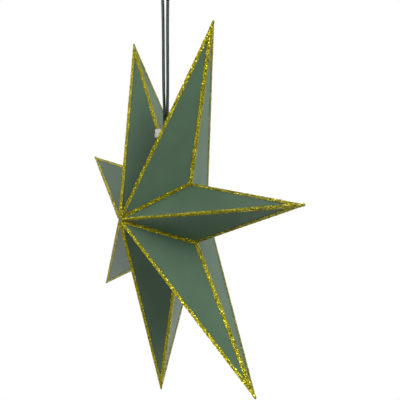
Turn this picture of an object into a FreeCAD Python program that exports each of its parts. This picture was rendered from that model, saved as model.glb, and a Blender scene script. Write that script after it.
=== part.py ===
import FreeCAD, Part
import math
import os

# Hanging paper star with seven hollow points, gold glitter lines along its
# folds, a plastic clip that closes it at the top, and a looped cord.
# Millimetres. +Z is up, the front of the star faces -Y, and the origin is
# where the cord loop bears on the hook that it hangs from.

Vector = FreeCAD.Vector
UP = Vector(0, 0, 1)
FRONT_TO_BACK = Vector(0, 1, 0)

# The star. Angles are in degrees.
POINT_COUNT = 7
TIP_RADIUS = 225.0
CORNER_RADIUS = 72.5
FRONT_DEPTH = 58.3
BACK_DEPTH = 61.6
PEAK_CUT = 1.2
CARD = 0.4
FLAP_WIDTH = 11.0
FLAP_SLIT = 0.6
FLAP_CORNER = 2.0

# The clip draws the two end points together, which turns their tips a little
# towards each other and sets one in front of the other.
FIRST_TIP_TURN = -1.3
LAST_TIP_TURN = 1.4
FIRST_TIP_FORWARD = -3.7
LAST_TIP_FORWARD = 4.0

# The glitter lines, measured from the fold that each one covers. They are laid
# by hand, so each point from 1 to 7 has its own share of these widths.
GLITTER = 0.5
RIDGE_LINE = 3.2
VALLEY_LINE = 3.3
SEAM_LINE = 3.5
PAST_TIP = 0.4
LINE_SHARES = (1.1, 1.2, 1.15, 1.2, 1.05, 1.0, 1.15)

# The clip: its height up the star, then a bar across the gap between the two
# end points, and a saddle pad on each of the four faces that it touches.
CLIP_DISTANCE = 94.6
CLIP_HEIGHT = 10.0
BAR_THICKNESS = 6.2
BAR_EDGE = 0.8
PAD_REACH = 5.4
PAD_WALL = 1.6
PAD_CORNER = 2.2
PAD_LAP = 1.0

# The cord, and how it hangs: side by side in the clip, one strand against the
# other above it, then apart as far as the hook holds them.
CORD_DIAMETER = 3.5
CORD_CLEARANCE = 0.2
HOLE_PITCH = 6.0
CORD_LEAD = 4.0
STRANDS_MEET = 36.0
STRANDS_PART = 50.0
KNOT_RADIUS = 5.0
KNOT_DEPTH = 3.5
HANG_TILT = 2.8
CLIP_DROP = 171.4
STRAND_SPACING = 4.75
STRAND_GAP = 0.2
STRAND_BEARING = 56.0
EYE_WIDTH = 9.6
EYE_FOOT = 20.0
EYE_SHOULDER = 10.0

ROOM = 2.4 * max(TIP_RADIUS, FRONT_DEPTH, BACK_DEPTH)
BLOCK = 4 * ROOM
STEP_ANGLE = 360.0 / POINT_COUNT


def polar(radius, angle):
    """A place in the star's mid plane, by its angle from +X towards +Z."""
    turn = math.radians(angle)
    return Vector(radius * math.cos(turn), 0, radius * math.sin(turn))


class StarPoint:
    """The corners of one point: two peaks, its tip and its two inner corners."""

    def __init__(self, index):
        angle = 90.0 + (index + 0.5) * STEP_ANGLE
        turn, forward = 0.0, 0.0
        if index == 0:
            turn, forward = FIRST_TIP_TURN, FIRST_TIP_FORWARD
        if index == POINT_COUNT - 1:
            turn, forward = LAST_TIP_TURN, LAST_TIP_FORWARD
        self.front = Vector(0, -FRONT_DEPTH, 0)
        self.back = Vector(0, BACK_DEPTH, 0)
        self.tip = polar(TIP_RADIUS, angle + turn) - FRONT_TO_BACK * forward
        self.before = polar(CORNER_RADIUS, angle - STEP_ANGLE / 2)
        self.after = polar(CORNER_RADIUS, angle + STEP_ANGLE / 2)
        self.corners = (self.before, self.after)
        self.inside = (self.tip + self.before + self.after + self.front + self.back) / 5
        self.line_share = LINE_SHARES[index]

    def front_faces(self):
        return [(self.front, self.tip, corner) for corner in self.corners]

    def back_faces(self):
        return [(self.back, self.tip, corner) for corner in self.corners]

    def flanks(self):
        return [(self.front, self.back, corner) for corner in self.corners]


def outward_normal(face, inside):
    a, b, c = face
    normal = (b - a).cross(c - a).normalize()
    if normal.dot(inside - a) > 0:
        normal = normal * -1
    return normal


def all_past(place, normal):
    """A block that fills everything past a plane, which is given by a place in it."""
    block = Part.makeBox(BLOCK, BLOCK, BLOCK, Vector(-BLOCK / 2, -BLOCK / 2, 0))
    block.Placement = FreeCAD.Placement(place, FreeCAD.Rotation(UP, normal))
    return block


def folded_form(point, grow=0.0, flank_grow=0.0):
    """The outer form of one point, with its faces and its flanks moved outward,
    and with blunt ends."""
    form = Part.makeBox(ROOM, ROOM, ROOM, Vector(-ROOM / 2, -ROOM / 2, -ROOM / 2))
    for face in point.front_faces() + point.back_faces():
        normal = outward_normal(face, point.inside)
        form = form.cut(all_past(face[0] + normal * grow, normal))
    for face in point.flanks():
        normal = outward_normal(face, point.inside)
        form = form.cut(all_past(face[0] + normal * flank_grow, normal))
    tip_way = Vector(point.tip).normalize()
    form = form.cut(all_past(point.tip + tip_way * PAST_TIP, tip_way))
    front = -(FRONT_DEPTH - PEAK_CUT)
    back = BACK_DEPTH - PEAK_CUT
    return form.common(Part.makeBox(BLOCK, back - front, BLOCK, Vector(-BLOCK / 2, front, -BLOCK / 2)))


def prism(corners, direction, below, above):
    """A plate on the given outline, from below its plane to above it."""
    outline = Part.makePolygon([corner - direction * below for corner in corners + corners[:1]])
    return Part.Face(outline).extrude(direction * (below + above))


def beside_flap(depth):
    """What a glue flap on one valley leaves of its flank, as a share of it."""
    return 1 - FLAP_WIDTH * math.hypot(CORNER_RADIUS, depth) / (CORNER_RADIUS * depth)


def flank_window(corner):
    """What is cut from a flank, so that only its two glue flaps are left."""
    along = Vector(corner).normalize()
    normal = along.cross(FRONT_TO_BACK)
    slit = FRONT_TO_BACK * (FLAP_SLIT / 2)
    slit_end = along * (CORNER_RADIUS - FLAP_CORNER)
    front = FRONT_TO_BACK * (-FRONT_DEPTH * beside_flap(FRONT_DEPTH))
    back = FRONT_TO_BACK * (BACK_DEPTH * beside_flap(BACK_DEPTH))
    front_start = along * (CORNER_RADIUS * beside_flap(FRONT_DEPTH) * (1 - slit.Length / front.Length))
    back_start = along * (CORNER_RADIUS * beside_flap(BACK_DEPTH) * (1 - slit.Length / back.Length))
    outline = [front, front_start - slit, slit_end - slit, slit_end + slit, back_start + slit, back]
    outline = [along * -CARD + place for place in outline]
    return prism(outline, normal, 2 * CARD, 2 * CARD)


def folded_card(point):
    """One point: card faces all round, with a glue flap along every valley."""
    card = folded_form(point).cut(folded_form(point, -CARD, -CARD))
    for corner in point.corners:
        card = card.cut(flank_window(corner))
    return card


def moved_in(start, end, towards, inset):
    """The line from start to end, moved in its plane towards a third corner."""
    along = (end - start).normalize()
    across = towards - start
    across = (across - along * across.dot(along)).normalize()
    return start + across * inset, along


def crossing(first, second):
    """Where two lines that lie in one plane meet."""
    (a, u), (b, v) = first, second
    normal = u.cross(v)
    return a + u * ((b - a).cross(v).dot(normal) / normal.dot(normal))


def bare_card(face, point):
    """A plate over the part of a face that has no glitter on it."""
    peak, tip, corner = face
    ridge_line = moved_in(peak, tip, corner, RIDGE_LINE * point.line_share)
    seam_line = moved_in(tip, corner, peak, SEAM_LINE * point.line_share)
    valley_line = moved_in(corner, peak, tip, VALLEY_LINE * point.line_share)
    corners = [
        crossing(ridge_line, seam_line),
        crossing(seam_line, valley_line),
        crossing(valley_line, ridge_line),
    ]
    return prism(corners, outward_normal(face, point.inside), GLITTER, 3 * GLITTER)


def glitter_lines(point):
    """Raised lines of glitter all round each face, front and back."""
    skin = folded_form(point, GLITTER).cut(folded_form(point))
    for face in point.front_faces() + point.back_faces():
        skin = skin.cut(bare_card(face, point))
    return skin


def saddle_pad(face, inside, tip, corner):
    """A rounded pad of the clip, flat on the face beside a seam."""
    normal = outward_normal(face, inside)
    upward = (UP - normal * normal.z).normalize()
    sideways = upward.cross(normal)
    if sideways.dot(inside - corner) < 0:
        sideways = sideways * -1
    seam_place = corner + (tip - corner) * ((CLIP_DISTANCE - corner.z) / (tip.z - corner.z))
    height = CLIP_HEIGHT / upward.z
    width = PAD_REACH + PAD_LAP
    depth = GLITTER + PAD_WALL
    pad = Part.makeBox(width, height, depth, Vector(-PAD_LAP, -height / 2, 0))
    outer_corners = [
        edge
        for edge in pad.Edges
        if abs(edge.Vertexes[0].X - PAD_REACH) < 1e-6
        and abs(edge.Vertexes[1].X - PAD_REACH) < 1e-6
        and abs(edge.Vertexes[0].Y - edge.Vertexes[1].Y) < 1e-6
    ]
    pad = pad.makeFillet(PAD_CORNER, outer_corners)
    axes = FreeCAD.Matrix(
        sideways.x, upward.x, normal.x, seam_place.x,
        sideways.y, upward.y, normal.y, seam_place.y,
        sideways.z, upward.z, normal.z, seam_place.z,
        0, 0, 0, 1,
    )
    return pad.transformGeometry(axes)


def closing_clip(first, last):
    """A bar between the two end points that holds the cord, with pads that sit
    astride their seams."""
    half_span = (CLIP_DISTANCE - CORNER_RADIUS + CLIP_HEIGHT) * math.tan(math.radians(STEP_ANGLE))
    bar = Part.makeBox(
        2 * half_span,
        BAR_THICKNESS,
        CLIP_HEIGHT,
        Vector(-half_span, -BAR_THICKNESS / 2, CLIP_DISTANCE - CLIP_HEIGHT / 2),
    )
    long_edges = [edge for edge in bar.Edges if edge.Length > 1.9 * half_span]
    clip = bar.makeFillet(BAR_EDGE, long_edges)
    for point, corner in ((first, first.before), (last, last.after)):
        for face in point.front_faces() + point.back_faces():
            if face[2].isEqual(corner, 1e-6):
                clip = clip.fuse(saddle_pad(face, point.inside, point.tip, corner))
    for point in (first, last):
        clip = clip.cut(folded_form(point, GLITTER, GLITTER))
    hole_radius = CORD_DIAMETER / 2 + CORD_CLEARANCE
    for side in (-1, 1):
        foot = Vector(side * HOLE_PITCH / 2, 0, CLIP_DISTANCE - CLIP_HEIGHT)
        clip = clip.cut(Part.makeCylinder(hole_radius, 2 * CLIP_HEIGHT, foot, UP))
    return clip


def cord_knot():
    """The knot that stops both ends of the cord under the clip."""
    underside = CLIP_DISTANCE - CLIP_HEIGHT / 2
    centre = Vector(0, 0, underside - KNOT_DEPTH)
    ball = Part.makeSphere(KNOT_RADIUS, centre)
    return ball.cut(Part.makeBox(BLOCK, BLOCK, BLOCK, Vector(-BLOCK / 2, -BLOCK / 2, underside)))


def hung(shape):
    """A shape from the star's own frame, placed as the star hangs."""
    turn = FreeCAD.Rotation(FRONT_TO_BACK, HANG_TILT)
    clip_centre = turn.multVec(UP * CLIP_DISTANCE)
    placed = shape.copy()
    placed.Placement = FreeCAD.Placement(Vector(0, 0, -CLIP_DROP) - clip_centre, turn).multiply(
        shape.Placement
    )
    return placed


def strand_points(side):
    """One strand's points, up from its hole in the clip to the top of the eye."""
    turn = FreeCAD.Rotation(FRONT_TO_BACK, HANG_TILT)
    bearing = math.radians(STRAND_BEARING)
    sideways = Vector(math.cos(bearing), math.sin(bearing), 0) * side
    clip_centre = UP * -CLIP_DROP
    hole = clip_centre + turn.multVec(Vector(side * HOLE_PITCH / 2, 0, 0))
    hole_way = turn.multVec(UP)
    return [
        hole - hole_way * (CLIP_HEIGHT / 2),
        hole + hole_way * (CLIP_HEIGHT / 2 + CORD_LEAD),
        clip_centre + sideways * ((CORD_DIAMETER + STRAND_GAP) / 2) + UP * STRANDS_MEET,
        clip_centre + sideways * (STRAND_SPACING / 2) + UP * STRANDS_PART,
        sideways * (STRAND_SPACING / 2) - UP * EYE_FOOT,
        sideways * (EYE_WIDTH / 2) - UP * EYE_SHOULDER,
        sideways * (EYE_WIDTH / 2) + UP * (CORD_DIAMETER / 2),
    ]


def cord_route():
    """The cord's points: up from one hole, round the hook, and down to the other."""
    return strand_points(1) + strand_points(-1)[::-1]


def tube(route, diameter):
    """A round tube of straight runs joined by arcs that touch them."""
    edges = []
    start = route[0]
    radii = []
    for before, corner, after in zip(route, route[1:], route[2:]):
        arriving = (corner - before).normalize()
        leaving = (after - corner).normalize()
        turn = arriving.getAngle(leaving)
        shorter = min((corner - before).Length, (after - corner).Length)
        radius = 0.45 * shorter / math.tan(turn / 2)
        radii.append(radius)
        arc_start = corner - arriving * (0.45 * shorter)
        arc_end = corner + leaving * (0.45 * shorter)
        inward = (leaving - arriving).normalize()
        arc_middle = corner + inward * (radius / math.cos(turn / 2) - radius)
        edges.append(Part.LineSegment(start, arc_start).toShape())
        edges.append(Part.Arc(arc_start, arc_middle, arc_end).toShape())
        start = arc_end
    edges.append(Part.LineSegment(start, route[-1]).toShape())
    path = Part.Wire(edges)
    section = Part.Wire([Part.Circle(route[0], route[1] - route[0], diameter / 2).toShape()])
    swept = path.makePipeShell([section], True, True)
    print("cord length %.1f mm" % path.Length)
    print("cord arc radii, mm:", ", ".join("%.1f" % radius for radius in radii))
    expected = path.Length * math.pi * diameter**2 / 4
    print("cord volume over section times length: %.4f" % (swept.Volume / expected))
    return swept


def save(name, shape):
    if not shape.isValid():
        print("not valid:", name)
    if len(shape.Solids) != 1:
        print("solids in", name, len(shape.Solids))
    shape.exportStep("parts/" + name + ".step")


os.makedirs("parts", exist_ok=True)

points = [StarPoint(index) for index in range(POINT_COUNT)]
for number, point in enumerate(points, start=1):
    save("point_%d" % number, hung(folded_card(point)))
    save("glitter_%d" % number, hung(glitter_lines(point)))
save("closing_clip", hung(closing_clip(points[0], points[-1])))
save("cord_knot", hung(cord_knot()))
save("hanging_cord", tube(cord_route(), CORD_DIAMETER))
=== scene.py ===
import math

import bmesh
import bpy
import numpy as np
from mathutils import Euler, Matrix, Vector


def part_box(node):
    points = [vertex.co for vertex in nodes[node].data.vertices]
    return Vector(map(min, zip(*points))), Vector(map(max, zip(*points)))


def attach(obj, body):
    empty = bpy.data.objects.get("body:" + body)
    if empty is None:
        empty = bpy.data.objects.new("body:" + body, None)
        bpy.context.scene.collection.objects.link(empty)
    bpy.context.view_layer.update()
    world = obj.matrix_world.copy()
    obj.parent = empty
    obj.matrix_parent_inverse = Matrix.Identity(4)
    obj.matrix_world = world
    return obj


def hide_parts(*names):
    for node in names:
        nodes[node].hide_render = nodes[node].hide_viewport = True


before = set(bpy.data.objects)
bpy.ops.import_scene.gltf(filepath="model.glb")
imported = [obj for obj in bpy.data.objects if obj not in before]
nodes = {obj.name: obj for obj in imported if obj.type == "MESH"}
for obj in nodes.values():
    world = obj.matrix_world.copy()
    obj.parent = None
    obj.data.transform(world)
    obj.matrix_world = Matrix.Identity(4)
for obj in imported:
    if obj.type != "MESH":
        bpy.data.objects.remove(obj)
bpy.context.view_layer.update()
scene = bpy.context.scene

# The seven points: sheets of heavy dyed card with a smooth, slightly waxy face,
# scored and folded, and glued to each other by flaps inside the valleys. The
# dye lies a little unevenly, and fine fibres show in the surface.
card = bpy.data.materials.new("green_card")
card.use_nodes = True
tree = card.node_tree
shader = tree.nodes["Principled BSDF"]
place = tree.nodes.new("ShaderNodeTexCoord")
cloud = tree.nodes.new("ShaderNodeTexNoise")
cloud.inputs["Scale"].default_value = 28
cloud.inputs["Detail"].default_value = 4
fibre = tree.nodes.new("ShaderNodeTexNoise")
fibre.inputs["Scale"].default_value = 900
fibre.inputs["Detail"].default_value = 5
tone = tree.nodes.new("ShaderNodeValToRGB")
tone.color_ramp.elements[0].position = 0.35
tone.color_ramp.elements[0].color = (0.068, 0.124, 0.075, 1)
tone.color_ramp.elements[1].position = 0.65
tone.color_ramp.elements[1].color = (0.079, 0.142, 0.087, 1)
grain = tree.nodes.new("ShaderNodeMix")
grain.data_type = "RGBA"
grain.blend_type = "OVERLAY"
grain.inputs["Factor"].default_value = 0.10
bump = tree.nodes.new("ShaderNodeBump")
bump.inputs["Strength"].default_value = 0.18
bump.inputs["Distance"].default_value = 0.0002
tree.links.new(place.outputs["Object"], cloud.inputs["Vector"])
tree.links.new(place.outputs["Object"], fibre.inputs["Vector"])
tree.links.new(cloud.outputs["Fac"], tone.inputs["Fac"])
tree.links.new(tone.outputs["Color"], grain.inputs["A"])
tree.links.new(fibre.outputs["Color"], grain.inputs["B"])
tree.links.new(grain.outputs["Result"], shader.inputs["Base Color"])
tree.links.new(fibre.outputs["Fac"], bump.inputs["Height"])
tree.links.new(bump.outputs["Normal"], shader.inputs["Normal"])
shader.inputs["Roughness"].default_value = 0.48
shader.inputs["Specular IOR Level"].default_value = 0.27
for number in range(1, 8):
    nodes[f"point_{number}"].data.materials.clear()
    nodes[f"point_{number}"].data.materials.append(card)

# The glitter lines: a low bead of gold-tinted glue along every fold, front and
# back, with loose gold flakes shaken over it while it was wet. The flakes lie
# at all angles, and each flake's colour is also painted brighter or darker at random, painted glints and
# painted dark reflections, so that some flash and others look dark.
STAR_CENTRE = Vector((-0.00462, 0, -0.26589))
HANG_TILT = math.radians(2.8)
FLAKE_SIZE = 0.00080
FLAKES_PER_SQUARE_METRE = 0.90e6
FLAKE_TILT = 0.45
FLAKE_LIFT = 0.00018
FLAKE_SEED = 7
SMALLEST_SHARE = 0.65
LARGEST_SHARE = 1.30
SUNK_FLAKE_TILT = 0.9
LEAST_WAY_OUT = 0.02
SAME_CORNER = 2e-6


def joined_nodes(names, new_name):
    """One mesh object from copies of several CAD nodes, with shared corners merged."""
    mesh = bpy.data.meshes.new(new_name)
    whole = bmesh.new()
    for name in names:
        whole.from_mesh(nodes[name].data)
    bmesh.ops.remove_doubles(whole, verts=whole.verts, dist=SAME_CORNER)
    whole.to_mesh(mesh)
    whole.free()
    mesh.materials.clear()
    piece = bpy.data.objects.new(new_name, mesh)
    scene.collection.objects.link(piece)
    return piece


def gold(name, cell_colour):
    """Gold-coloured flakes, each painted at random with its own share of the room's light and dark: a
    painted reflection in the base colour.
    """
    material = bpy.data.materials.new(name)
    material.use_nodes = True
    tree = material.node_tree
    shader = tree.nodes["Principled BSDF"]
    # Painted reflection: the ramp runs from near-black to bright gold, and each flake's place on it is
    # random, so its colour carries painted glints and painted dark.
    tone = tree.nodes.new("ShaderNodeValToRGB")
    ramp = tone.color_ramp
    ramp.elements[0].position = 0.0
    ramp.elements[0].color = (0.075, 0.066, 0.001, 1)
    ramp.elements[1].position = 1.0
    ramp.elements[1].color = (0.88, 0.82, 0.12, 1)
    for position, colour in (
        (0.35, (0.140, 0.124, 0.001)),
        (0.70, (0.26, 0.235, 0.003)),
        (0.90, (0.42, 0.385, 0.010)),
    ):
        ramp.elements.new(position).color = (*colour, 1)
    tree.links.new(cell_colour(tree, shader), tone.inputs["Fac"])
    tree.links.new(tone.outputs["Color"], shader.inputs["Base Color"])
    shader.inputs["Metallic"].default_value = 0.9
    shader.inputs["Roughness"].default_value = 0.42
    return material


def by_island(tree, shader):
    """A number for each loose flake."""
    flake = tree.nodes.new("ShaderNodeNewGeometry")
    return flake.outputs["Random Per Island"]


def by_cell(tree, shader):
    """A number for each flake that is sunk in the glue, which also tilts it."""
    place = tree.nodes.new("ShaderNodeTexCoord")
    cells = tree.nodes.new("ShaderNodeTexVoronoi")
    cells.inputs["Scale"].default_value = 1 / FLAKE_SIZE
    tree.links.new(place.outputs["Object"], cells.inputs["Vector"])
    centred = tree.nodes.new("ShaderNodeVectorMath")
    centred.operation = "SUBTRACT"
    centred.inputs[1].default_value = (0.5, 0.5, 0.5)
    tree.links.new(cells.outputs["Color"], centred.inputs[0])
    tilt = tree.nodes.new("ShaderNodeVectorMath")
    tilt.operation = "SCALE"
    tilt.inputs["Scale"].default_value = SUNK_FLAKE_TILT
    tree.links.new(centred.outputs["Vector"], tilt.inputs[0])
    surface = tree.nodes.new("ShaderNodeNewGeometry")
    tilted = tree.nodes.new("ShaderNodeVectorMath")
    tilted.operation = "ADD"
    tree.links.new(surface.outputs["Normal"], tilted.inputs[0])
    tree.links.new(tilt.outputs["Vector"], tilted.inputs[1])
    unit = tree.nodes.new("ShaderNodeVectorMath")
    unit.operation = "NORMALIZE"
    tree.links.new(tilted.outputs["Vector"], unit.inputs[0])
    tree.links.new(unit.outputs["Vector"], shader.inputs["Normal"])
    split = tree.nodes.new("ShaderNodeSeparateColor")
    tree.links.new(cells.outputs["Color"], split.inputs["Color"])
    return split.outputs["Red"]


# Both finishes carry painted glints in their colour: the loose flakes one per flake, the bead's surface
# one per glue-sunk cell.
loose_flakes_painted_glints = gold("gold_flakes_painted_glints", by_island)
sunk_flakes_painted_glints = gold("flakes_in_glue_painted_glints", by_cell)

flake_mesh = bpy.data.meshes.new("gold_flake")
flake_corners = [(math.cos(k * math.pi / 3) / 2, math.sin(k * math.pi / 3) / 2, 0) for k in range(6)]
flake_mesh.from_pydata(flake_corners, [], [tuple(range(6))])
flake = bpy.data.objects.new("gold_flake", flake_mesh)
scene.collection.objects.link(flake)

shake = bpy.data.node_groups.new("shaken_glitter", "GeometryNodeTree")
for socket_name, kind in (
    ("Bead", "NodeSocketGeometry"),
    ("Flake", "NodeSocketObject"),
    ("Star centre", "NodeSocketVector"),
    ("Flakes per square metre", "NodeSocketFloat"),
    ("Flake size", "NodeSocketFloat"),
    ("Tilt", "NodeSocketFloat"),
    ("Lift", "NodeSocketFloat"),
    ("Seed", "NodeSocketInt"),
):
    shake.interface.new_socket(socket_name, in_out="INPUT", socket_type=kind)
shake.interface.new_socket("Glitter line", in_out="OUTPUT", socket_type="NodeSocketGeometry")
given = shake.nodes.new("NodeGroupInput")
result = shake.nodes.new("NodeGroupOutput")

# Flakes lie only on the outside of the bead: there the way out from the star's
# centre and the surface's normal agree.
spot = shake.nodes.new("GeometryNodeInputPosition")
normal = shake.nodes.new("GeometryNodeInputNormal")
way_out = shake.nodes.new("ShaderNodeVectorMath")
way_out.operation = "SUBTRACT"
agree = shake.nodes.new("ShaderNodeVectorMath")
agree.operation = "DOT_PRODUCT"
outside = shake.nodes.new("FunctionNodeCompare")
outside.data_type = "FLOAT"
outside.operation = "GREATER_THAN"
outside.inputs["B"].default_value = LEAST_WAY_OUT
shake.links.new(spot.outputs["Position"], way_out.inputs[0])
shake.links.new(given.outputs["Star centre"], way_out.inputs[1])
shake.links.new(way_out.outputs["Vector"], agree.inputs[0])
shake.links.new(normal.outputs["Normal"], agree.inputs[1])
shake.links.new(agree.outputs["Value"], outside.inputs["A"])

scatter = shake.nodes.new("GeometryNodeDistributePointsOnFaces")
scatter.distribute_method = "RANDOM"
shake.links.new(given.outputs["Bead"], scatter.inputs["Mesh"])
shake.links.new(outside.outputs["Result"], scatter.inputs["Selection"])
shake.links.new(given.outputs["Flakes per square metre"], scatter.inputs["Density"])
shake.links.new(given.outputs["Seed"], scatter.inputs["Seed"])

# Each flake is lifted a little out of the glue, turned and tilted at random.
height = shake.nodes.new("FunctionNodeRandomValue")
height.data_type = "FLOAT"
shake.links.new(given.outputs["Lift"], height.inputs[3])
shake.links.new(given.outputs["Seed"], height.inputs["Seed"])
rise = shake.nodes.new("ShaderNodeVectorMath")
rise.operation = "SCALE"
shake.links.new(scatter.outputs["Normal"], rise.inputs[0])
shake.links.new(height.outputs[1], rise.inputs["Scale"])
lifted = shake.nodes.new("GeometryNodeSetPosition")
shake.links.new(scatter.outputs["Points"], lifted.inputs["Geometry"])
shake.links.new(rise.outputs["Vector"], lifted.inputs["Offset"])
least = shake.nodes.new("ShaderNodeMath")
least.operation = "MULTIPLY"
least.inputs[1].default_value = -1
shake.links.new(given.outputs["Tilt"], least.inputs[0])
low = shake.nodes.new("ShaderNodeCombineXYZ")
high = shake.nodes.new("ShaderNodeCombineXYZ")
for axis in ("X", "Y"):
    shake.links.new(least.outputs["Value"], low.inputs[axis])
    shake.links.new(given.outputs["Tilt"], high.inputs[axis])
high.inputs["Z"].default_value = 2 * math.pi
turn = shake.nodes.new("FunctionNodeRandomValue")
turn.data_type = "FLOAT_VECTOR"
shake.links.new(low.outputs["Vector"], turn.inputs[0])
shake.links.new(high.outputs["Vector"], turn.inputs[1])
shake.links.new(given.outputs["Seed"], turn.inputs["Seed"])
tilted = shake.nodes.new("FunctionNodeRotateRotation")
tilted.rotation_space = "LOCAL"
to_rotation = shake.nodes.new("FunctionNodeEulerToRotation")
shake.links.new(turn.outputs[0], to_rotation.inputs["Euler"])
shake.links.new(scatter.outputs["Rotation"], tilted.inputs["Rotation"])
shake.links.new(to_rotation.outputs["Rotation"], tilted.inputs["Rotate By"])
size = shake.nodes.new("FunctionNodeRandomValue")
size.data_type = "FLOAT"
size.inputs[2].default_value = SMALLEST_SHARE
size.inputs[3].default_value = LARGEST_SHARE
sized = shake.nodes.new("ShaderNodeMath")
sized.operation = "MULTIPLY"
shake.links.new(size.outputs[1], sized.inputs[0])
shake.links.new(given.outputs["Flake size"], sized.inputs[1])
one_flake = shake.nodes.new("GeometryNodeObjectInfo")
shake.links.new(given.outputs["Flake"], one_flake.inputs["Object"])
strewn = shake.nodes.new("GeometryNodeInstanceOnPoints")
shake.links.new(lifted.outputs["Geometry"], strewn.inputs["Points"])
shake.links.new(one_flake.outputs["Geometry"], strewn.inputs["Instance"])
shake.links.new(tilted.outputs["Rotation"], strewn.inputs["Rotation"])
shake.links.new(sized.outputs["Value"], strewn.inputs["Scale"])
real = shake.nodes.new("GeometryNodeRealizeInstances")
shake.links.new(strewn.outputs["Instances"], real.inputs["Geometry"])
flakes_finish = shake.nodes.new("GeometryNodeSetMaterial")
flakes_finish.inputs["Material"].default_value = loose_flakes_painted_glints
shake.links.new(real.outputs["Geometry"], flakes_finish.inputs["Geometry"])
bead_finish = shake.nodes.new("GeometryNodeSetMaterial")
bead_finish.inputs["Material"].default_value = sunk_flakes_painted_glints
shake.links.new(given.outputs["Bead"], bead_finish.inputs["Geometry"])
both = shake.nodes.new("GeometryNodeJoinGeometry")
shake.links.new(bead_finish.outputs["Geometry"], both.inputs["Geometry"])
shake.links.new(flakes_finish.outputs["Geometry"], both.inputs["Geometry"])
shake.links.new(both.outputs["Geometry"], result.inputs["Glitter line"])

bead = joined_nodes([f"glitter_{number}" for number in range(1, 8)], "glue_bead")

# The glue spreads less far from a fold than the coat that the solids allow for,
# so the bare middle of each face reaches nearer to its three corners.
LINE_SHARE = 0.76
CORNER_RADIUS = 0.0725
FRONT_DEPTH = 0.0583
BACK_DEPTH = 0.0616
TIP_REACH = (0.005, 0.032)
PEAK_REACH = (0.007, 0.018)
CORNER_REACH = (0.002, 0.006)
tips = []
for number in range(1, 8):
    corners = [Vector(vertex.co) for vertex in nodes[f"point_{number}"].data.vertices]
    tips.append(max(corners, key=lambda corner: (corner - STAR_CENTRE).length))
fold_ends = [(tip, TIP_REACH) for tip in tips]
for depth in (-FRONT_DEPTH, BACK_DEPTH):
    fold_ends.append((STAR_CENTRE + Vector((0, depth, 0)), PEAK_REACH))
for number in range(7):
    angle = math.pi / 2 + number * 2 * math.pi / 7 - HANG_TILT
    outward = Vector((math.cos(angle), 0, math.sin(angle)))
    fold_ends.append((STAR_CENTRE + outward * CORNER_RADIUS, CORNER_REACH))
for vertex in bead.data.vertices:
    place, (least, most) = min(fold_ends, key=lambda end: (vertex.co - end[0]).length)
    away = vertex.co - place
    if least < away.length < most:
        vertex.co = place + away * LINE_SHARE

# At each tip, where the lines meet, the glue ends in a small drop.
DROP_RADIUS = 0.0014
DROP_INSET = 0.0012
drops = bmesh.new()
drops.from_mesh(bead.data)
for tip in tips:
    inward = (STAR_CENTRE - tip).normalized()
    place = Matrix.Translation(tip + inward * DROP_INSET)
    bmesh.ops.create_icosphere(drops, subdivisions=2, radius=DROP_RADIUS, matrix=place)
drops.to_mesh(bead.data)
drops.free()
modifier = bead.modifiers.new("glitter", "NODES")
modifier.node_group = shake
sockets = {item.name: item.identifier for item in shake.interface.items_tree if item.in_out == "INPUT"}
modifier[sockets["Flake"]] = flake
modifier[sockets["Star centre"]] = STAR_CENTRE[:]
modifier[sockets["Flakes per square metre"]] = FLAKES_PER_SQUARE_METRE
modifier[sockets["Flake size"]] = FLAKE_SIZE
modifier[sockets["Tilt"]] = FLAKE_TILT
modifier[sockets["Lift"]] = FLAKE_LIFT
modifier[sockets["Seed"]] = FLAKE_SEED
glitter_mesh = bpy.data.meshes.new_from_object(bead.evaluated_get(bpy.context.evaluated_depsgraph_get()))
bpy.data.objects.remove(bead)
bpy.data.objects.remove(flake)
glitter = bpy.data.objects.new("gold_glitter", glitter_mesh)
scene.collection.objects.link(glitter)
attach(glitter, "root")
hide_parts(*[f"glitter_{number}" for number in range(1, 8)])

# The closing clip: white moulded plastic with softly rounded edges, pressed
# over the seams of the two end points. It holds the star shut and carries the
# cord in two holes through its bar.
CLIP_EDGE = 0.0004
CLIP_CORNER = math.radians(35)
FLAT_WITHIN = math.radians(1)
clip = joined_nodes(["closing_clip"], "white_clip")
shape = bmesh.new()
shape.from_mesh(clip.data)
bmesh.ops.dissolve_limit(shape, angle_limit=FLAT_WITHIN, verts=shape.verts, edges=shape.edges)
shape.to_mesh(clip.data)
shape.free()
rounding = clip.modifiers.new("rounding", "BEVEL")
rounding.width = CLIP_EDGE
rounding.segments = 3
rounding.limit_method = "ANGLE"
rounding.angle_limit = CLIP_CORNER
clip_mesh = bpy.data.meshes.new_from_object(clip.evaluated_get(bpy.context.evaluated_depsgraph_get()))
bpy.data.objects.remove(clip)
plastic = bpy.data.materials.new("white_plastic")
plastic.use_nodes = True
tree = plastic.node_tree
shader = tree.nodes["Principled BSDF"]
place = tree.nodes.new("ShaderNodeTexCoord")
ripple = tree.nodes.new("ShaderNodeTexNoise")
ripple.inputs["Scale"].default_value = 260
bump = tree.nodes.new("ShaderNodeBump")
bump.inputs["Strength"].default_value = 0.12
bump.inputs["Distance"].default_value = 0.0002
tree.links.new(place.outputs["Object"], ripple.inputs["Vector"])
tree.links.new(ripple.outputs["Fac"], bump.inputs["Height"])
tree.links.new(bump.outputs["Normal"], shader.inputs["Normal"])
shader.inputs["Base Color"].default_value = (0.91, 0.92, 0.90, 1)
shader.inputs["Roughness"].default_value = 0.32
clip_mesh.materials.clear()
clip_mesh.materials.append(plastic)
clip = bpy.data.objects.new("white_clip", clip_mesh)
scene.collection.objects.link(clip)
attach(clip, "root")
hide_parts("closing_clip")

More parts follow.
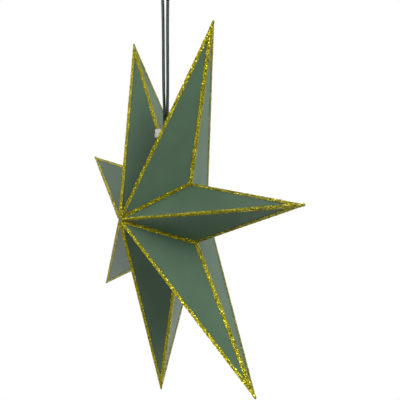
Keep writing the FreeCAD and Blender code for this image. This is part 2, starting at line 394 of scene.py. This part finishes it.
# The hanging cord: one length of thin braid over a dark core, four pale green
# yarns laid one way and four near-black ones the other. The star's weight pulls
# it tight. Both strands rise side by side from the clip to the eye at the hook.
CORD_DIAMETER = 0.0035
CLIP_DROP = 0.1714
CLIP_HEIGHT = 0.010
HOLE_PITCH = 0.006
CORD_LEAD = 0.004
STRANDS_MEET = 0.036
STRANDS_PART = 0.050
STRAND_SPACING = 0.00475
STRAND_GAP = 0.0002
STRAND_BEARING = math.radians(56)
EYE_WIDTH = 0.0096
EYE_FOOT = 0.020
EYE_SHOULDER = 0.010
LINE_POINTS_PER_SPAN = 40
SOME_DIRECTION = (0.3, 0.9, 0.1)


def strand_points(side):
    """The route of one strand, from the knot up to the top of the eye."""
    up = Vector((0, 0, 1))
    sideways = Vector((math.cos(STRAND_BEARING), math.sin(STRAND_BEARING), 0)) * side
    bar_way = Vector((math.cos(HANG_TILT), 0, -math.sin(HANG_TILT)))
    hole_way = Vector((math.sin(HANG_TILT), 0, math.cos(HANG_TILT)))
    clip_centre = up * -CLIP_DROP
    hole = clip_centre + bar_way * (side * HOLE_PITCH / 2)
    return [
        hole - hole_way * (CLIP_HEIGHT / 2),
        hole + hole_way * (CLIP_HEIGHT / 2 + CORD_LEAD),
        clip_centre + sideways * ((CORD_DIAMETER + STRAND_GAP) / 2) + up * STRANDS_MEET,
        clip_centre + sideways * (STRAND_SPACING / 2) + up * STRANDS_PART,
        sideways * (STRAND_SPACING / 2) - up * EYE_FOOT,
        sideways * (EYE_WIDTH / 2) - up * EYE_SHOULDER,
        sideways * (EYE_WIDTH / 2) + up * (CORD_DIAMETER / 2),
    ]


cord_route = strand_points(1) + strand_points(-1)[::-1]


def centre_line(route, name):
    """The smooth line that a cord follows, as evenly spaced points."""
    curve = bpy.data.curves.new(name, "CURVE")
    curve.dimensions = "3D"
    curve.resolution_u = LINE_POINTS_PER_SPAN
    spline = curve.splines.new("NURBS")
    spline.points.add(len(route) - 1)
    for control, place in zip(spline.points, route):
        control.co = (*place, 1)
    spline.order_u = 3
    spline.use_endpoint_u = True
    holder = bpy.data.objects.new(name, curve)
    scene.collection.objects.link(holder)
    mesh = bpy.data.meshes.new_from_object(holder.evaluated_get(bpy.context.evaluated_depsgraph_get()))
    line = np.array([vertex.co[:] for vertex in mesh.vertices])
    bpy.data.objects.remove(holder)
    bpy.data.meshes.remove(mesh)
    return line


def evenly(line, step):
    """The same line with points a fixed step apart."""
    gaps = np.linalg.norm(np.diff(line, axis=0), axis=1)
    along = np.concatenate([[0], np.cumsum(gaps)])
    places = np.linspace(0, along[-1], int(round(along[-1] / step)) + 1)
    return np.stack([np.interp(places, along, line[:, k]) for k in range(3)], axis=1), places


def carried_axes(line):
    """Two axes across the line at each point, carried along it without twist."""
    tangent = np.gradient(line, axis=0)
    tangent /= np.linalg.norm(tangent, axis=1)[:, None]
    side = np.cross(tangent[0], SOME_DIRECTION)
    sides = []
    for t in tangent:
        side = side - t * side.dot(t)
        side = side / np.linalg.norm(side)
        sides.append(side)
    sides = np.array(sides)
    return sides, np.cross(tangent, sides)


def swept(line, first, second, around):
    """Vertices and faces of a closed tube: at each point of the line, the cross
    section's numbers in around are measured along the two axes there."""
    count, ring = len(line), len(around)
    one_way = first[:, None, :] * around[None, :, 0:1]
    other_way = second[:, None, :] * around[None, :, 1:2]
    rings = line[:, None, :] + one_way + other_way
    faces = []
    for i in range(count - 1):
        for j in range(ring):
            k = (j + 1) % ring
            faces.append((i * ring + j, i * ring + k, (i + 1) * ring + k, (i + 1) * ring + j))
    faces.append(tuple(range(ring))[::-1])
    faces.append(tuple((count - 1) * ring + j for j in range(ring)))
    return rings.reshape(-1, 3), faces


YARNS_EACH_WAY = 4
BRAID_PITCH = 0.0104
BRAID_STEP = 0.00030
CORE_STEPS = 4
YARN_SIDES = 8
YARN_RADIUS = 0.00118
YARN_LIFT = 0.00021
PALE_HALF_WIDTH = 0.00052
DARK_HALF_WIDTH = 0.00112
YARN_HALF_THICKNESS = 0.00044
CORE_RADIUS = 0.00132


def braid(line):
    """A tubular braid round a line: vertices, faces, and each face's yarn,
    0 for pale, 1 for dark and 2 for the core."""
    line, along = evenly(line, BRAID_STEP)
    side, other = carried_axes(line)
    crossing = BRAID_PITCH / (2 * YARNS_EACH_WAY)
    corner = np.linspace(0, 2 * math.pi, YARN_SIDES + 1)[:-1]
    ring = np.stack([np.cos(corner), np.sin(corner)], 1)
    vertices, faces, kinds = [], [], []
    start = 0
    for way, half_width in ((1, PALE_HALF_WIDTH), (-1, DARK_HALF_WIDTH)):
        for yarn in range(YARNS_EACH_WAY):
            turn = way * 2 * math.pi * along / BRAID_PITCH + 2 * math.pi * yarn / YARNS_EACH_WAY
            lift = way * np.cos(math.pi * along / crossing)
            radius = YARN_RADIUS + YARN_LIFT * lift
            outward = side * np.cos(turn)[:, None] + other * np.sin(turn)[:, None]
            path = line + outward * radius[:, None]
            run = np.gradient(path, axis=0)
            run /= np.linalg.norm(run, axis=1)[:, None]
            across = np.cross(run, outward)
            across /= np.linalg.norm(across, axis=1)[:, None]
            outward = np.cross(across, run)
            found, quads = swept(path, across, outward, ring * (half_width, YARN_HALF_THICKNESS))
            vertices.append(found)
            faces += [tuple(start + v for v in quad) for quad in quads]
            kinds += [0 if way > 0 else 1] * len(quads)
            start += len(found)
    found, quads = swept(line[::CORE_STEPS], side[::CORE_STEPS], other[::CORE_STEPS], ring * CORE_RADIUS)
    vertices.append(found)
    faces += [tuple(start + v for v in quad) for quad in quads]
    kinds += [2] * len(quads)
    return np.concatenate(vertices), faces, kinds


def yarn_finish(name, colour, fleck):
    """Spun yarn: fine fibres across the lay, a soft sheen, slight colour flecks."""
    material = bpy.data.materials.new(name)
    material.use_nodes = True
    tree = material.node_tree
    shader = tree.nodes["Principled BSDF"]
    place = tree.nodes.new("ShaderNodeTexCoord")
    fibres = tree.nodes.new("ShaderNodeTexNoise")
    fibres.inputs["Scale"].default_value = 2600
    fibres.inputs["Detail"].default_value = 3
    blend = tree.nodes.new("ShaderNodeMix")
    blend.data_type = "RGBA"
    blend.inputs["A"].default_value = (*colour, 1)
    blend.inputs["B"].default_value = (*fleck, 1)
    bump = tree.nodes.new("ShaderNodeBump")
    bump.inputs["Strength"].default_value = 0.5
    bump.inputs["Distance"].default_value = 0.0001
    tree.links.new(place.outputs["Object"], fibres.inputs["Vector"])
    tree.links.new(fibres.outputs["Fac"], blend.inputs["Factor"])
    tree.links.new(fibres.outputs["Fac"], bump.inputs["Height"])
    tree.links.new(blend.outputs["Result"], shader.inputs["Base Color"])
    tree.links.new(bump.outputs["Normal"], shader.inputs["Normal"])
    shader.inputs["Roughness"].default_value = 0.9
    shader.inputs["Specular IOR Level"].default_value = 0.02
    return material


def mesh_piece(name, vertices, faces, materials, kinds):
    """A smooth mesh object at the origin, with its place in its mesh."""
    mesh = bpy.data.meshes.new(name)
    mesh.from_pydata([tuple(v) for v in vertices], [], faces)
    for material in materials:
        mesh.materials.append(material)
    mesh.polygons.foreach_set("material_index", kinds)
    mesh.polygons.foreach_set("use_smooth", [True] * len(mesh.polygons))
    mesh.update()
    piece = bpy.data.objects.new(name, mesh)
    scene.collection.objects.link(piece)
    return piece


pale_yarn = yarn_finish("pale_yarn", (0.21, 0.30, 0.245), (0.38, 0.48, 0.42))
dark_yarn = yarn_finish("dark_yarn", (0.002, 0.006, 0.004), (0.006, 0.014, 0.009))
cord_core = yarn_finish("cord_core", (0.003, 0.006, 0.004), (0.005, 0.010, 0.007))
cord_finish = [pale_yarn, dark_yarn, cord_core]
cord_line = centre_line(cord_route, "cord_line")
vertices, faces, kinds = braid(cord_line)
cord = mesh_piece("braided_cord", vertices, faces, cord_finish, kinds)
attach(cord, "root")
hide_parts("hanging_cord")

# The stopper knot under the clip: both ends of the cord wrapped round each
# other and pulled tight, with two short cut tails below.
WRAP_RADIUS = 0.0030
WRAP_RISE = 0.0034
WRAP_TURNS = 1.6
WRAP_LIFT = 0.0006
WRAP_POINTS = 60
TAIL_POINTS = 12
TAIL_TOP = (0.0010, 0, 0.0025)
TAIL_FOOT = (0.0022, -0.0012, -0.0041)
knot_low, knot_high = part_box("cord_knot")
knot_centre = (knot_low + knot_high) / 2


def knot_wrap():
    """The wrapped part of the knot, as a tight rising coil."""
    turns = np.linspace(0, WRAP_TURNS * 2 * math.pi, WRAP_POINTS)
    height = (turns / turns[-1] - 0.5) * WRAP_RISE
    return np.stack(
        [
            knot_centre.x + WRAP_RADIUS * np.cos(turns),
            knot_centre.y + WRAP_RADIUS * np.sin(turns),
            knot_centre.z + WRAP_LIFT + height,
        ],
        axis=1,
    )


def knot_tail(side):
    """One cut tail, from inside the coil to just under it."""
    steps = np.linspace(0, 1, TAIL_POINTS)[:, None]
    about = Vector((side, side, 1))
    top = np.array(knot_centre + Vector(TAIL_TOP) * about)
    foot = np.array(knot_centre + Vector(TAIL_FOOT) * about)
    return top + (foot - top) * steps


knot_vertices, knot_faces, knot_kinds = [], [], []
for line in (knot_wrap(), knot_tail(1), knot_tail(-1)):
    vertices, faces, kinds = braid(line)
    start = len(knot_vertices)
    knot_vertices += list(vertices)
    knot_faces += [tuple(start + v for v in face) for face in faces]
    knot_kinds += kinds
knot = mesh_piece("stopper_knot", knot_vertices, knot_faces, cord_finish, knot_kinds)
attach(knot, "root")
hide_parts("cord_knot")

# The studio: a white room that the camera and every gloss see as plain white,
# a pale floor well below the star that keeps its shadow, and soft lamps.
AMBIENT = 0.08
FLOOR_DROP = 1.3
FLOOR_HALF = 12.0
FLOOR_CORNERS = ((-1, -1), (1, -1), (1, 1), (-1, 1))


def sees_white(tree):
    """1 for rays from the camera, from a gloss and through glass, 0 for the rest."""
    paths = tree.nodes.new("ShaderNodeLightPath")
    seen = paths.outputs["Is Camera Ray"]
    for kind in ("Is Glossy Ray", "Is Transmission Ray"):
        either = tree.nodes.new("ShaderNodeMath")
        either.operation = "MAXIMUM"
        tree.links.new(seen, either.inputs[0])
        tree.links.new(paths.outputs[kind], either.inputs[1])
        seen = either.outputs[0]
    return seen


world = bpy.data.worlds.new("white_room")
scene.world = world
world.use_nodes = True
tree = world.node_tree
background = tree.nodes["Background"]
background.inputs["Color"].default_value = (1, 1, 1, 1)
strength = tree.nodes.new("ShaderNodeMix")
strength.inputs["A"].default_value = AMBIENT
strength.inputs["B"].default_value = 1.0
tree.links.new(sees_white(tree), strength.inputs["Factor"])
tree.links.new(strength.outputs["Result"], background.inputs["Strength"])

floor_mesh = bpy.data.meshes.new("floor")
floor_places = [(x * FLOOR_HALF, y * FLOOR_HALF, -FLOOR_DROP) for x, y in FLOOR_CORNERS]
floor_mesh.from_pydata(floor_places, [], [(0, 1, 2, 3)])
paint = bpy.data.materials.new("pale_floor")
paint.use_nodes = True
tree = paint.node_tree
diffuse = tree.nodes["Principled BSDF"]
diffuse.inputs["Base Color"].default_value = (0.8, 0.8, 0.8, 1)
diffuse.inputs["Roughness"].default_value = 0.9
white = tree.nodes.new("ShaderNodeEmission")
white.inputs["Strength"].default_value = 1.0
choose = tree.nodes.new("ShaderNodeMixShader")
tree.links.new(sees_white(tree), choose.inputs["Fac"])
tree.links.new(diffuse.outputs["BSDF"], choose.inputs[1])
tree.links.new(white.outputs["Emission"], choose.inputs[2])
tree.links.new(choose.outputs["Shader"], tree.nodes["Material Output"].inputs["Surface"])
floor_mesh.materials.append(paint)
floor = bpy.data.objects.new("floor", floor_mesh)
scene.collection.objects.link(floor)


def soft_lamp(name, place, size, power):
    """A square lamp that points at the middle of the star."""
    data = bpy.data.lights.new(name, "AREA")
    data.size = size
    data.energy = power
    lamp = bpy.data.objects.new(name, data)
    scene.collection.objects.link(lamp)
    lamp.location = place
    lamp.rotation_euler = (STAR_CENTRE - Vector(place)).to_track_quat("-Z", "Y").to_euler()


def around(turn, height, distance):
    """A place by its angle from the star's front, rightward, and its angle above it."""
    turn, height = math.radians(turn), math.radians(height)
    level = Vector((math.sin(turn), -math.cos(turn), 0)) * math.cos(height)
    return STAR_CENTRE + (level + Vector((0, 0, math.sin(height)))) * distance


soft_lamp("key_lamp", around(96, 25, 1.8), 0.9, 32)
soft_lamp("top_lamp", around(-28, 40, 1.8), 0.9, 18)
soft_lamp("left_lamp", around(-78, -35, 1.2), 0.7, 1.5)
soft_lamp("rear_lamp", around(203, -35, 1.2), 0.7, 1.5)
soft_lamp("rear_left_lamp", around(235, 10, 1.8), 0.9, 22)

# The photographer's place: the star is seen from its right and slightly from
# above, from about half a metre.
PHOTO_PIXELS = 400
FOCAL_PIXELS = 464.3
LOOK_AROUND = 56.0
LOOK_DOWN = 7.59
LOOK_ROLL = 0.26
lens = bpy.data.cameras.new("photo_camera")
lens.sensor_width = 36
lens.lens = lens.sensor_width * FOCAL_PIXELS / PHOTO_PIXELS
camera = bpy.data.objects.new("photo_camera", lens)
scene.collection.objects.link(camera)
camera.location = (0.46914, -0.2688, -0.17515)
level = Euler((math.radians(90 - LOOK_DOWN), 0, math.radians(LOOK_AROUND))).to_matrix()
camera.rotation_euler = (level @ Matrix.Rotation(math.radians(LOOK_ROLL), 3, "Z")).to_euler()
scene.camera = camera
scene.view_settings.view_transform = "Standard"
